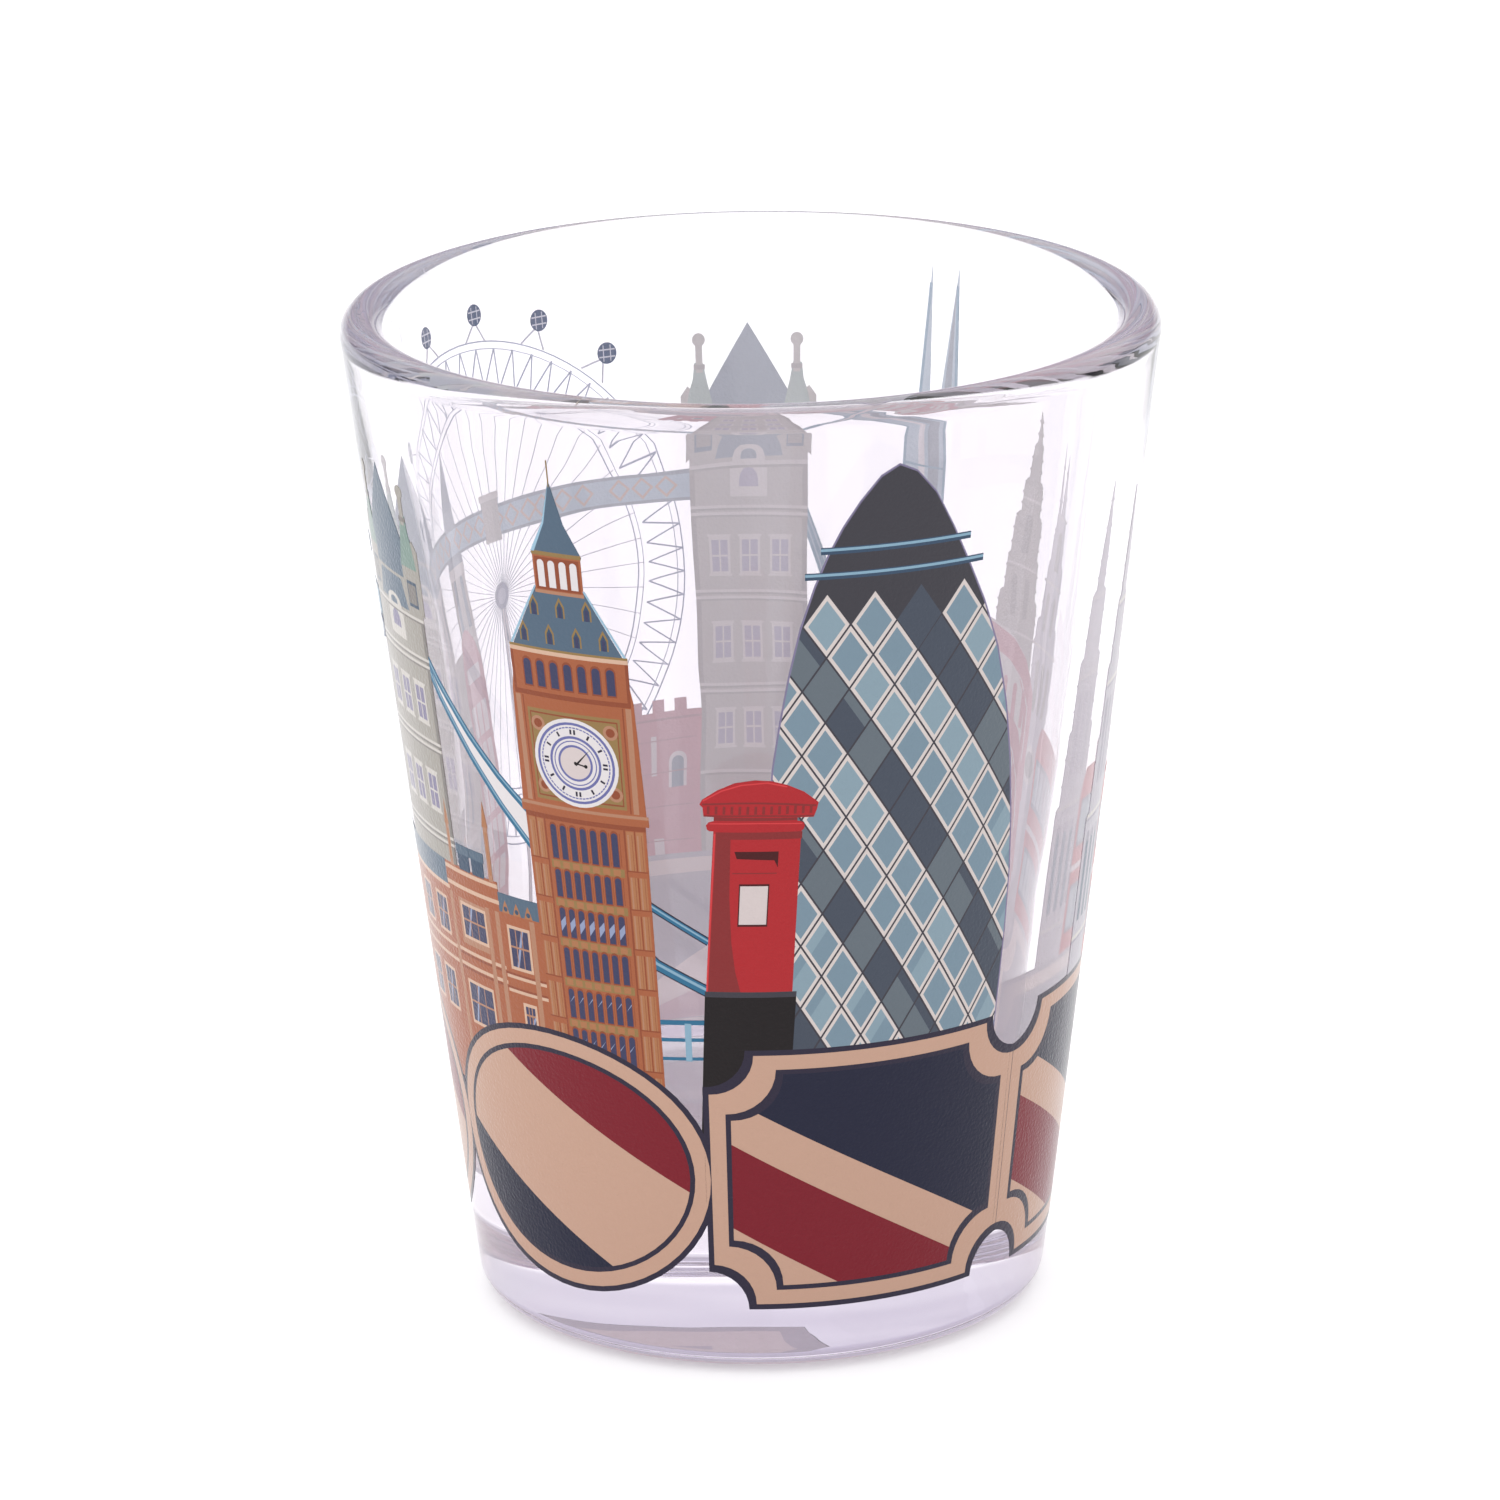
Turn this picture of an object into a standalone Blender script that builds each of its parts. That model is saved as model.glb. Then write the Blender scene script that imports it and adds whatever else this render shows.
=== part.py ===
"""Tapered shot glass with a city skyline printed round it.

The glass is one pressed body: a thick solid base, a straight tapered wall and a fire-polished rim.
The print is a set of separate ink films that follow the outside of the wall. Each film is drawn flat,
in degrees round the glass and millimetres up it, and is then bent onto the wall.

Metres, +Z up. The origin is the centre of the underside. Angle 0 faces -Y and grows towards +X.
"""

import math

import bmesh
import bpy

# Driving dimensions of the glass
HEIGHT = 0.060
RIM_RADIUS = 0.0241  # where the line of the outer wall reaches the height of the rim
FOOT_RADIUS = 0.01685  # where that line reaches the ground
RIM_WALL = 0.0026  # wall thickness at the rim, which is rounded by half of it
FLOOR_WALL = 0.0031  # wall thickness level with the inner floor
FLOOR_HEIGHT = 0.0125  # thickness of the solid base
HEEL_FILLET = 0.0016  # rounding between the wall and the underside
FLOOR_FILLET = 0.0040  # rounding between the inner wall and the inner floor

# Driving dimensions of the print
FILM_GAP = 0.0003  # between the wall and the inside of a film
FILM_THICKNESS = 0.00015
SKYLINE_FOOT = 21.8  # height in mm where the buildings start, just above the plaques
PLAQUE_BOTTOM = 4.2
PLAQUE_TOP = 21.0
PLAQUE_COUNT = 6
PLAQUE_PITCH = 360 / PLAQUE_COUNT
PLAQUE_HALF_WIDTH = 29.1
FIRST_PLAQUE = -39.0
WHEEL_CENTRE = (229.0, 39.5)

SEGMENTS = 72  # flat facets round the glass, shared by the films
FACET = 360 / SEGMENTS
ARC_STEPS = 6
MM = 0.001
MERGE = 0.00001

WALL_SLOPE = (RIM_RADIUS - FOOT_RADIUS) / HEIGHT
WALL_LEAN = math.atan(WALL_SLOPE)


def clear_scene():
    for old in list(bpy.data.objects):
        bpy.data.objects.remove(old, do_unlink=True)


def new_collection(name):
    collection = bpy.data.collections.new(name)
    bpy.context.scene.collection.children.link(collection)
    return collection


def make_material(name, colour, roughness, metallic=0.0, transmission=0.0):
    material = bpy.data.materials.new(name)
    material.use_nodes = True
    shader = material.node_tree.nodes["Principled BSDF"]
    shader.inputs["Base Color"].default_value = (*colour, 1.0)
    shader.inputs["Roughness"].default_value = roughness
    shader.inputs["Metallic"].default_value = metallic
    shader.inputs["Transmission Weight"].default_value = transmission
    return material


def wall_radius(height):
    """Radius of the straight outer wall at a height."""
    return FOOT_RADIUS + WALL_SLOPE * height


def arc(centre, radius, start, end, steps=ARC_STEPS):
    """Points of an arc in the profile's plane, from one angle to another, both in radians."""
    angles = [start + (end - start) * i / steps for i in range(steps + 1)]
    return [(centre[0] + radius * math.cos(a), centre[1] + radius * math.sin(a)) for a in angles]


def corner(before, at, after, radius):
    """An arc of a given radius that rounds the corner between two straight runs."""
    arm_in = math.atan2(before[1] - at[1], before[0] - at[0])
    arm_out = math.atan2(after[1] - at[1], after[0] - at[0])
    turn = (arm_out - arm_in + math.pi) % (2 * math.pi) - math.pi
    half = turn / 2
    reach = radius / math.sin(abs(half))
    middle = arm_in + half
    centre = (at[0] + reach * math.cos(middle), at[1] + reach * math.sin(middle))
    side = math.copysign(math.pi / 2, turn)
    first = arm_in - side
    sweep = math.copysign(math.pi - abs(turn), turn)
    return arc(centre, radius, first, first - sweep)


def glass_profile():
    """Half section from the middle of the inner floor, over the rim and down to the underside."""
    rim = RIM_WALL / 2
    inner_rim = (wall_radius(HEIGHT) - RIM_WALL, HEIGHT - rim)
    floor_corner = (wall_radius(FLOOR_HEIGHT) - FLOOR_WALL, FLOOR_HEIGHT)
    floor_middle = (0.0, FLOOR_HEIGHT)
    foot_corner = (FOOT_RADIUS, 0.0)
    rim_centre = (wall_radius(HEIGHT - rim) - rim / math.cos(WALL_LEAN), HEIGHT - rim)
    points = [floor_middle]
    points += corner(floor_middle, floor_corner, inner_rim, FLOOR_FILLET)
    points += arc(rim_centre, rim, math.pi, -WALL_LEAN, 2 * ARC_STEPS)
    points += corner((RIM_RADIUS, HEIGHT), foot_corner, (0.0, 0.0), HEEL_FILLET)
    points.append((0.0, 0.0))
    return points


def make_glass(collection, material):
    """The glass body, turned from its half section."""
    points = glass_profile()
    mesh = bpy.data.meshes.new("glass_body")
    mesh.from_pydata(
        [(r, 0.0, z) for r, z in points],
        [(i, i + 1) for i in range(len(points) - 1)],
        [],
    )
    glass = bpy.data.objects.new("glass_body", mesh)
    collection.objects.link(glass)
    turn = glass.modifiers.new("turned", "SCREW")
    turn.axis = "Z"
    turn.angle = math.tau
    turn.steps = SEGMENTS
    turn.render_steps = SEGMENTS
    turn.use_merge_vertices = True
    turn.merge_threshold = MERGE
    turn.use_smooth_shade = True
    mesh.materials.append(material)
    return glass


def wrap(angle, height, depth):
    """Where a point of the flat drawing lies: on the glass's own facets, moved out by depth."""
    radius = wall_radius(height) + depth
    step = math.floor(angle / FACET + 1e-6)
    share = angle / FACET - step
    a = math.radians(step * FACET)
    b = math.radians((step + 1) * FACET)
    x = radius * ((1 - share) * math.sin(a) + share * math.sin(b))
    y = radius * ((1 - share) * math.cos(a) + share * math.cos(b))
    return (x, -y, height)


def flat_shape(name, outline):
    """A closed flat solid from an outline in degrees and millimetres, as thick as the film."""
    curve = bpy.data.curves.new(name, "CURVE")
    curve.dimensions = "2D"
    curve.fill_mode = "BOTH"
    curve.extrude = FILM_THICKNESS / 2
    spline = curve.splines.new("POLY")
    spline.points.add(len(outline) - 1)
    for point, (angle, height) in zip(spline.points, outline):
        point.co = (angle * MM, height * MM, 0.0, 1.0)
    spline.use_cyclic_u = True
    drawn = bpy.data.objects.new(name + "_drawn", curve)
    bpy.context.scene.collection.objects.link(drawn)
    evaluated = drawn.evaluated_get(bpy.context.evaluated_depsgraph_get())
    mesh = bpy.data.meshes.new_from_object(evaluated)
    bpy.data.objects.remove(drawn, do_unlink=True)
    return mesh


def make_film(collection, name, outline, material):
    """One ink film: its flat shape, cut along the facets' edges and bent round the wall."""
    mesh = flat_shape(name, outline)
    shape = bmesh.new()
    shape.from_mesh(mesh)
    bmesh.ops.remove_doubles(shape, verts=shape.verts, dist=MERGE / 10)
    angles = [angle for angle, height in outline]
    first = math.ceil(min(angles) / FACET)
    last = math.floor(max(angles) / FACET)
    for step in range(first, last + 1):
        bmesh.ops.bisect_plane(
            shape,
            geom=shape.verts[:] + shape.edges[:] + shape.faces[:],
            dist=MERGE / 100,
            plane_co=(step * FACET * MM, 0.0, 0.0),
            plane_no=(1.0, 0.0, 0.0),
        )
    middle = FILM_GAP + FILM_THICKNESS / 2
    for vert in shape.verts:
        vert.co = wrap(vert.co.x / MM, vert.co.y, middle + vert.co.z)
    bmesh.ops.recalc_face_normals(shape, faces=shape.faces)
    if shape.calc_volume(signed=True) < 0:
        bmesh.ops.reverse_faces(shape, faces=shape.faces)
    shape.to_mesh(mesh)
    shape.free()
    mesh.name = name
    mesh.materials.clear()
    mesh.materials.append(material)
    mesh.shade_smooth()
    mesh.set_sharp_from_angle(angle=math.radians(30))
    film = bpy.data.objects.new(name, mesh)
    collection.objects.link(film)
    return film


def oval(centre, half_width, bottom, top, steps=28):
    """An ellipse between two heights."""
    middle = (top + bottom) / 2
    reach = (top - bottom) / 2
    turns = [math.tau * i / steps for i in range(steps)]
    return [(centre + half_width * math.cos(t), middle + reach * math.sin(t)) for t in turns]


def ticket(centre, half_width, bottom, top, scoop_width=5.0, scoop_height=2.2, steps=4):
    """A label with a quarter round scooped out of each corner."""
    corners = [
        (centre + half_width, top, math.pi, math.pi * 1.5),
        (centre + half_width, bottom, math.pi / 2, math.pi),
        (centre - half_width, bottom, 0.0, math.pi / 2),
        (centre - half_width, top, -math.pi / 2, 0.0),
    ]
    points = []
    for x, y, start, end in corners:
        for i in range(steps + 1):
            a = start + (end - start) * i / steps
            points.append((x + scoop_width * math.cos(a), y + scoop_height * math.sin(a)))
    return points


def wheel_arc(start, end, inner, outer, steps=12):
    """The part of the wheel's rim that rises above the bridge's walkway. Radii are in mm."""
    degree = math.radians(1) * wall_radius(WHEEL_CENTRE[1] * MM) / MM
    spread = [start + (end - start) * i / steps for i in range(steps + 1)]
    rim = [(outer, a) for a in spread] + [(inner, a) for a in reversed(spread)]
    return [
        (
            WHEEL_CENTRE[0] + radius * math.cos(math.radians(a)) / degree,
            WHEEL_CENTRE[1] + radius * math.sin(math.radians(a)),
        )
        for radius, a in rim
    ]


def mirrored(centre, half):
    """A whole outline from its right half, given from the foot up as offsets from the centre."""
    right = [(centre + dx, y) for dx, y in half]
    left = [(centre - dx, y) for dx, y in reversed(half) if dx > 0]
    return right + left


def skyline():
    """The outline of each building in the print, by name."""
    foot = SKYLINE_FOOT
    clock_tower = mirrored(
        -28.6,
        [
            (10.6, foot), (10.6, 34.6), (11.2, 35.0), (10.2, 42.0), (9.2, 44.8),
            (3.8, 48.7), (3.8, 51.0), (0.0, 55.3),
        ],
    )
    palace_wing = [
        (-40.6, foot), (-40.6, 28.6), (-47.5, 28.6), (-47.5, 29.3), (-88.0, 29.3), (-88.0, foot),
    ]
    pillar_box = [
        (5.6, foot), (7.0, 34.5), (9.5, 35.3), (9.5, 36.3), (5.5, 37.3), (0.5, 37.7), (-4.5, 37.3),
        (-8.5, 36.3), (-8.5, 35.3), (-6.8, 34.5), (-8.6, 24.4), (-9.6, foot),
    ]
    glass_tower = [
        (44.8, foot), (45.0, 26.0), (44.8, 30.0), (42.8, 37.0), (38.5, 43.8), (33.0, 49.0),
        (26.0, 54.4), (20.6, 56.2), (15.4, 54.6), (9.4, 49.4), (5.4, 44.4), (3.2, 39.2),
        (11.0, 38.6), (11.0, 34.6), (8.2, 34.0), (7.0, foot),
    ]
    bridge_tower = mirrored(
        0.0,
        [(9.0, 0.0), (9.0, 25.0), (8.2, 30.6), (6.8, 31.2), (6.0, 27.4), (0.0, 32.2)],
    )
    walkway = [(191.0, 42.5), (280.6, 42.5), (280.6, 44.6), (191.0, 44.6)]
    castle_wall = [
        (191.0, foot), (203.0, foot), (203.0, 30.0), (200.5, 30.0), (200.5, 29.0), (198.5, 29.0),
        (198.5, 30.0), (195.5, 30.0), (195.5, 29.0), (193.5, 29.0), (193.5, 30.0), (191.0, 30.0),
    ]
    phone_kiosk = mirrored(248.0, [(4.2, foot), (4.2, 36.0), (3.0, 37.2), (0.0, 38.0)])
    minster = mirrored(
        262.0, [(8.2, foot), (8.2, 37.0), (5.4, 41.8), (2.7, 37.0), (2.7, 31.0), (0.0, 33.0)]
    )
    spire_tower = mirrored(149.0, [(8.0, foot), (1.2, 57.0), (0.0, 50.0)])
    abbey = mirrored(
        120.0,
        [
            (15.6, foot), (15.6, 38.0), (11.4, 48.6), (7.2, 38.0), (6.6, 33.5), (1.4, 35.0),
            (0.0, 50.0),
        ],
    )
    bus = [
        (81.0, foot), (103.0, foot), (103.0, 31.2), (101.8, 32.2), (82.2, 32.2), (81.0, 31.2),
    ]
    monument = mirrored(73.5, [(5.6, foot), (5.6, 24.0), (3.4, 26.0), (3.0, 38.0), (0.0, 49.6)])
    return {
        "print_clock_tower": clock_tower,
        "print_palace_wing": palace_wing,
        "print_pillar_box": pillar_box,
        "print_glass_tower": glass_tower,
        "print_bridge_tower_east": [(180.5 + x, SKYLINE_FOOT + y) for x, y in bridge_tower],
        "print_bridge_tower_west": [(-68.8 + x, 29.9 + 0.72 * y) for x, y in bridge_tower],
        "print_bridge_walkway": walkway,
        "print_bridge_chain_west": [(-40.4, 32.6), (-40.4, 35.6), (-58.8, 42.8), (-58.8, 40.6)],
        "print_bridge_chain_east": [(158.6, 36.0), (170.4, 40.8), (170.4, 43.0), (158.6, 38.4)],
        "print_bridge_deck": [(-16.8, foot), (-10.8, foot), (-9.6, 27.9), (-16.8, 29.4)],
        "print_wheel": wheel_arc(31.0, 149.0, 11.4, 16.2),
        "print_castle_wall": castle_wall,
        "print_phone_kiosk": phone_kiosk,
        "print_minster": minster,
        "print_spire_tower": spire_tower,
        "print_abbey": abbey,
        "print_bus": bus,
        "print_monument": monument,
    }


SKYLINE_COLOURS = {
    "print_clock_tower": (0.45, 0.12, 0.04),
    "print_palace_wing": (0.45, 0.12, 0.04),
    "print_pillar_box": (0.56, 0.02, 0.02),
    "print_glass_tower": (0.20, 0.33, 0.38),
    "print_bridge_tower_east": (0.40, 0.36, 0.30),
    "print_bridge_tower_west": (0.40, 0.36, 0.30),
    "print_bridge_walkway": (0.10, 0.26, 0.38),
    "print_bridge_chain_west": (0.05, 0.20, 0.34),
    "print_bridge_chain_east": (0.05, 0.20, 0.34),
    "print_bridge_deck": (0.05, 0.20, 0.34),
    "print_wheel": (0.50, 0.52, 0.58),
    "print_castle_wall": (0.42, 0.12, 0.12),
    "print_phone_kiosk": (0.50, 0.03, 0.03),
    "print_minster": (0.36, 0.34, 0.38),
    "print_spire_tower": (0.16, 0.30, 0.46),
    "print_abbey": (0.40, 0.37, 0.36),
    "print_bus": (0.50, 0.03, 0.03),
    "print_monument": (0.35, 0.36, 0.33),
}


def plaque_outline(number):
    """Plaques 1, 4 and 6 are ovals, and 2, 3 and 5 are tickets, counted from the clock tower."""
    centre = FIRST_PLAQUE + PLAQUE_PITCH * number
    shape = ticket if number in (1, 2, 4) else oval
    return shape(centre, PLAQUE_HALF_WIDTH, PLAQUE_BOTTOM, PLAQUE_TOP)


def main():
    clear_scene()
    parts = new_collection("shot_glass")
    make_glass(parts, make_material("clear_glass", (0.96, 0.96, 0.98), 0.02, transmission=1.0))
    for name, outline in skyline().items():
        ink = make_material(name + "_ink", SKYLINE_COLOURS[name], 0.45)
        make_film(parts, name, outline, ink)
    plaque_ink = make_material("plaque_ink", (0.62, 0.40, 0.27), 0.45)
    for number in range(PLAQUE_COUNT):
        make_film(parts, f"print_plaque_{number + 1}", plaque_outline(number), plaque_ink)


main()
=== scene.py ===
"""The looks of a souvenir shot glass: clear pressed glass with a city skyline printed round it in ink.

The print is drawn flat, in degrees round the glass and millimetres up it. Each picture is cut into
triangles wherever its shapes cross, each triangle takes the ink of the shape on top, and the sheet of
triangles becomes a thin closed film that is bent onto the wall. Angle 0 faces -Y and grows towards +X.
"""

import math
import random

import bpy
from mathutils import Matrix, Vector
from mathutils.geometry import delaunay_2d_cdt


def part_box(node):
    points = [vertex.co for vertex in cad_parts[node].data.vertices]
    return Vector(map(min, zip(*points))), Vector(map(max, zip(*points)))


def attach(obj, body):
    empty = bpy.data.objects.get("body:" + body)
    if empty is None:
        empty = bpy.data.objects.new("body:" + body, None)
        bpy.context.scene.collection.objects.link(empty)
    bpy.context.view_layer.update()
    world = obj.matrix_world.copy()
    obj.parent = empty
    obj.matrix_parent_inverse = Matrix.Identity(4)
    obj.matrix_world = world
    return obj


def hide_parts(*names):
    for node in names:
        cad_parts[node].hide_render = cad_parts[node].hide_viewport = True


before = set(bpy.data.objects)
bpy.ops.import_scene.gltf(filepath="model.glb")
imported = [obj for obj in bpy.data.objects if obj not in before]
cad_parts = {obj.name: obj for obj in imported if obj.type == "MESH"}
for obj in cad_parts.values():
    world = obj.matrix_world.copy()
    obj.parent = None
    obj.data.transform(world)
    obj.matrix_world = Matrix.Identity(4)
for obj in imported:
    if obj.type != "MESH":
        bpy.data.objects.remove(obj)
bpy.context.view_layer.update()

MM = 0.001
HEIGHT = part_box("glass_body")[1][2]

# The glass, as the frame has it
RIM_RADIUS = 0.0241  # where the line of the outer wall reaches the height of the rim
FOOT_RADIUS = 0.01685  # where that line reaches the ground
RIM_WALL = 0.0026
FLOOR_WALL = 0.0031
FLOOR_HEIGHT = 0.0125
HEEL_FILLET = 0.0016
FLOOR_FILLET = 0.0040
WALL_SLOPE = (RIM_RADIUS - FOOT_RADIUS) / HEIGHT
WALL_LEAN = math.atan(WALL_SLOPE)
TURNS = 256  # segments round the glass
RIPPLE = 0.000022  # how far the pressed inner wall wanders
GLASS_COLOUR = (0.86, 0.84, 0.865)
GLASS_DEPTH_COLOUR = (0.70, 0.62, 0.80)
GLASS_DEPTH_DENSITY = 12.0

# The print
INK_DEPTH = 0.000025  # how far a film reaches out of the wall, and into it
FOLD = 2.5  # degrees between the lines along which a film bends
SKETCH_DEGREE = 0.4  # millimetres that stand for a degree while a picture is cut up
CUT_TOLERANCE = 0.00001
FACE_TRIM = 0.76  # how far the inks are turned down for the bright studio
UNDER_SHARE = 0.34  # how much of an ink's colour shows through its white undercoat
UNDER_PAINTED_GLOW = 0.26  # painted glow on the undercoats, standing in for light that comes through a film from behind
INK_GRAIN = 5000.0  # scale of the noise that roughens an ink
INK_GRAIN_DEPTH = 0.00004

# The plaques round the foot, in degrees and millimetres
FIRST_PLAQUE = -39.0
PLAQUE_STEP = 60.0
PLAQUE_HALF_WIDTH = 31.0
PLAQUE_BOTTOM = 4.1
PLAQUE_TOP = 20.8
TICKETS = (1, 2, 4)  # the plaques that are shaped like tickets, where the others are ovals
STRIPE_FALL = 0.19  # millimetres that a stripe falls in a degree
OVAL_STRIPES = (("crimson", 16.5, 21.8), ("navy", -10.0, 7.9))
TICKET_STRIPES = (("navy", 12.7, 40.0), ("crimson", 4.4, 9.8))

# The stage, the light and the camera
FLOOR_SIZE = 6.0
FLOOR_DROP = 0.0002
STUDIO_STRENGTH = 1.4
STUDIO = (  # height of each band of the studio, and its colour
    (0.0, (0.76, 0.75, 0.77)), (0.06, (0.72, 0.70, 0.73)), (0.13, (0.40, 0.37, 0.42)),
    (0.32, (0.53, 0.50, 0.58)), (0.47, (1.0, 1.0, 1.0)), (1.0, (1.0, 1.0, 1.0)),
)
LAMP_SIZE = 0.4
LAMP_POWER = 0.45
LAMP_PLACE = Vector((-0.60, -0.12, 0.15))
CAMERA_DISTANCE = 0.48
CAMERA_ELEVATION = math.radians(17.82)
CAMERA_ROLL = math.radians(-0.71)
CAMERA_LENS = 194.3
AIM_HEIGHT = 0.03
AIM_UP = 0.00264
AIM_LEFT = 0.00034

INKS = {
    "cream": (0.80, 0.65, 0.565),
    "navy": (0.142, 0.15, 0.233),
    "crimson": (0.505, 0.12, 0.17),
    "outline": (0.20, 0.18, 0.25),
    "brick": (0.675, 0.395, 0.265),
    "brick_dark": (0.58, 0.31, 0.21),
    "tan": (0.72, 0.53, 0.42),
    "pale_tan": (0.86, 0.72, 0.62),
    "gold": (0.60, 0.49, 0.31),
    "window": (0.265, 0.27, 0.39),
    "glint": (0.60, 0.64, 0.76),
    "slate": (0.35, 0.428, 0.50),
    "slate_dark": (0.25, 0.33, 0.42),
    "ice": (0.64, 0.78, 0.86),
    "dial": (0.91, 0.89, 0.89),
    "dial_line": (0.44, 0.45, 0.66),
    "black": (0.135, 0.115, 0.12),
    "soot": (0.27, 0.26, 0.29),
    "red": (0.712, 0.175, 0.195),
    "red_light": (0.86, 0.27, 0.28),
    "red_dark": (0.548, 0.197, 0.20),
    "plate": (0.86, 0.81, 0.80),
    "cap": (0.268, 0.263, 0.288),
    "pane": (0.499, 0.59, 0.645),
    "pane_light": (0.56, 0.65, 0.695),
    "mullion": (0.87, 0.83, 0.81),
    "band_dark": (0.30, 0.33, 0.38),
    "band_grey": (0.42, 0.46, 0.49),
    "mauve": (0.53, 0.50, 0.62),
    "stone": (0.655, 0.635, 0.60),
    "stone_light": (0.83, 0.81, 0.78),
    "stone_dark": (0.52, 0.50, 0.48),
    "copper_green": (0.50, 0.60, 0.56),
    "steel_blue": (0.22, 0.45, 0.58),
    "steel_light": (0.56, 0.70, 0.78),
    "silver": (0.62, 0.65, 0.74),
    "silver_dark": (0.42, 0.46, 0.58),
    "castle": (0.66, 0.22, 0.28),
    "castle_dark": (0.50, 0.17, 0.22),
    "capsule": (0.30, 0.36, 0.48),
    "silver_line": (0.72, 0.75, 0.83),
    "slot": (0.30, 0.11, 0.12),
    "ochre": (0.70, 0.48, 0.33),
    "lilac_stone": (0.735, 0.715, 0.75),
    "lilac_dark": (0.60, 0.575, 0.635),
}
UNDERCOAT = (0.995, 0.985, 0.99)
OTHER_SHARES = {  # inks that show through more or less than UNDER_SHARE
    "capsule": 0.8, "silver_line": 0.8, "castle": 0.27, "castle_dark": 0.3,
    "cream": 0.16, "navy": 0.16, "crimson": 0.16, "outline": 0.16,
}


# ---------------------------------------------------------------- materials

def linear(value):
    """A display value as the light that it stands for."""
    if value <= 0.04045:
        return value / 12.92
    return ((value + 0.055) / 1.055) ** 2.4


def new_material(name):
    """A material with its nodes and links."""
    material = bpy.data.materials.new(name)
    material.use_nodes = True
    return material, material.node_tree.nodes, material.node_tree.links


def place(name, data):
    """Adds an object to the scene."""
    thing = bpy.data.objects.new(name, data)
    bpy.context.scene.collection.objects.link(thing)
    return thing


def set_inputs(node, values):
    """Sets a node's inputs by their names."""
    for name, value in values.items():
        node.inputs[name].default_value = value


def add_noise(nodes, links, scale, detail):
    """Noise in the piece's own metres."""
    coordinates = nodes.new("ShaderNodeTexCoord")
    noise = nodes.new("ShaderNodeTexNoise")
    set_inputs(noise, {"Scale": scale, "Detail": detail})
    links.new(coordinates.outputs["Object"], noise.inputs["Vector"])
    return noise


def add_bump(nodes, links, noise, strength, distance):
    """Lets a noise raise the surface of the material."""
    bump = nodes.new("ShaderNodeBump")
    set_inputs(bump, {"Strength": strength, "Distance": distance})
    links.new(noise.outputs["Fac"], bump.inputs["Height"])
    links.new(bump.outputs["Normal"], nodes["Principled BSDF"].inputs["Normal"])


def ink_material(name, colour, roughness, trim=1.0, glow=0.0):
    """Matt screen-printed ink: a flat colour with the fine tooth of the mesh it was pressed through, and a
    painted glow in its own colour where one is given.
    """
    material, nodes, links = new_material(name)
    shader = nodes["Principled BSDF"]
    light = [linear(part) for part in colour]
    set_inputs(shader, {
        "Base Color": (*[part * trim for part in light], 1.0),
        # the emission is a painted glow: none on the faces, and on the undercoats a stand-in for light
        # through the film
        "Emission Color": (*light, 1.0),
        "Emission Strength": glow,
        "Specular IOR Level": 0.14,
        "Sheen Weight": 0.8,
        "Sheen Roughness": 0.3,
    })
    add_bump(nodes, links, add_noise(nodes, links, INK_GRAIN, 2.0), 1.0, INK_GRAIN_DEPTH)
    patches = add_noise(nodes, links, 400.0, 3.0)
    spread = nodes.new("ShaderNodeMapRange")
    set_inputs(spread, {"To Min": roughness - 0.08, "To Max": roughness + 0.08})
    links.new(patches.outputs["Fac"], spread.inputs["Value"])
    links.new(spread.outputs["Result"], shader.inputs["Roughness"])
    return material


def make_inks():
    """Each ink twice: as it is seen from outside, and as its undercoat is seen through the glass, with a
    painted glow for light coming through the film from behind.
    """
    face = {}
    under = {}
    for name, colour in INKS.items():
        face[name] = ink_material("ink_" + name, colour, 0.42, FACE_TRIM)
        share = OTHER_SHARES.get(name, UNDER_SHARE)
        paler = [share * part + (1 - share) * coat for part, coat in zip(colour, UNDERCOAT)]
        # the undercoat's painted glow stands in for light that comes through the film from behind
        under[name] = ink_material("under_" + name, paler, 0.5, glow=UNDER_PAINTED_GLOW)
    return face, under


def glass_material():
    """Clear soda glass, faintly lavender through its depth, slightly wavy like a pressed wall."""
    material, nodes, links = new_material("clear_glass")
    set_inputs(nodes["Principled BSDF"], {
        "Base Color": (*GLASS_COLOUR, 1.0),
        "Roughness": 0.0,
        "IOR": 1.5,
        "Transmission Weight": 1.0,
    })
    add_bump(nodes, links, add_noise(nodes, links, 110.0, 1.0), 0.25, 0.0002)
    tint = nodes.new("ShaderNodeVolumeAbsorption")
    set_inputs(tint, {"Color": (*GLASS_DEPTH_COLOUR, 1.0), "Density": GLASS_DEPTH_DENSITY})
    links.new(tint.outputs["Volume"], nodes["Material Output"].inputs["Volume"])
    return material


def floor_material():
    """White sweep with a faint cloudiness and a slight glow, like a light table."""
    material, nodes, links = new_material("pale_floor")
    shader = nodes["Principled BSDF"]
    set_inputs(shader, {
        "Roughness": 0.6,
        "Emission Color": (1.0, 1.0, 1.0, 1.0),
        "Emission Strength": 0.2,
    })
    grain = add_noise(nodes, links, 60.0, 4.0)
    ramp = nodes.new("ShaderNodeValToRGB")
    for stop, grey in zip(ramp.color_ramp.elements, (0.93, 0.95)):
        stop.color = (grey, grey, grey, 1.0)
    links.new(grain.outputs["Fac"], ramp.inputs["Fac"])
    links.new(ramp.outputs["Color"], shader.inputs["Base Color"])
    return material


# ---------------------------------------------------------------- the glass

def wall_radius(height):
    """Radius of the straight outer wall at a height."""
    return FOOT_RADIUS + WALL_SLOPE * height


def arc(centre, radius, start, end, steps):
    """Points along part of a circle, ends included."""
    angles = [start + (end - start) * i / steps for i in range(steps + 1)]
    return [(centre[0] + radius * math.cos(a), centre[1] + radius * math.sin(a)) for a in angles]


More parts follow.
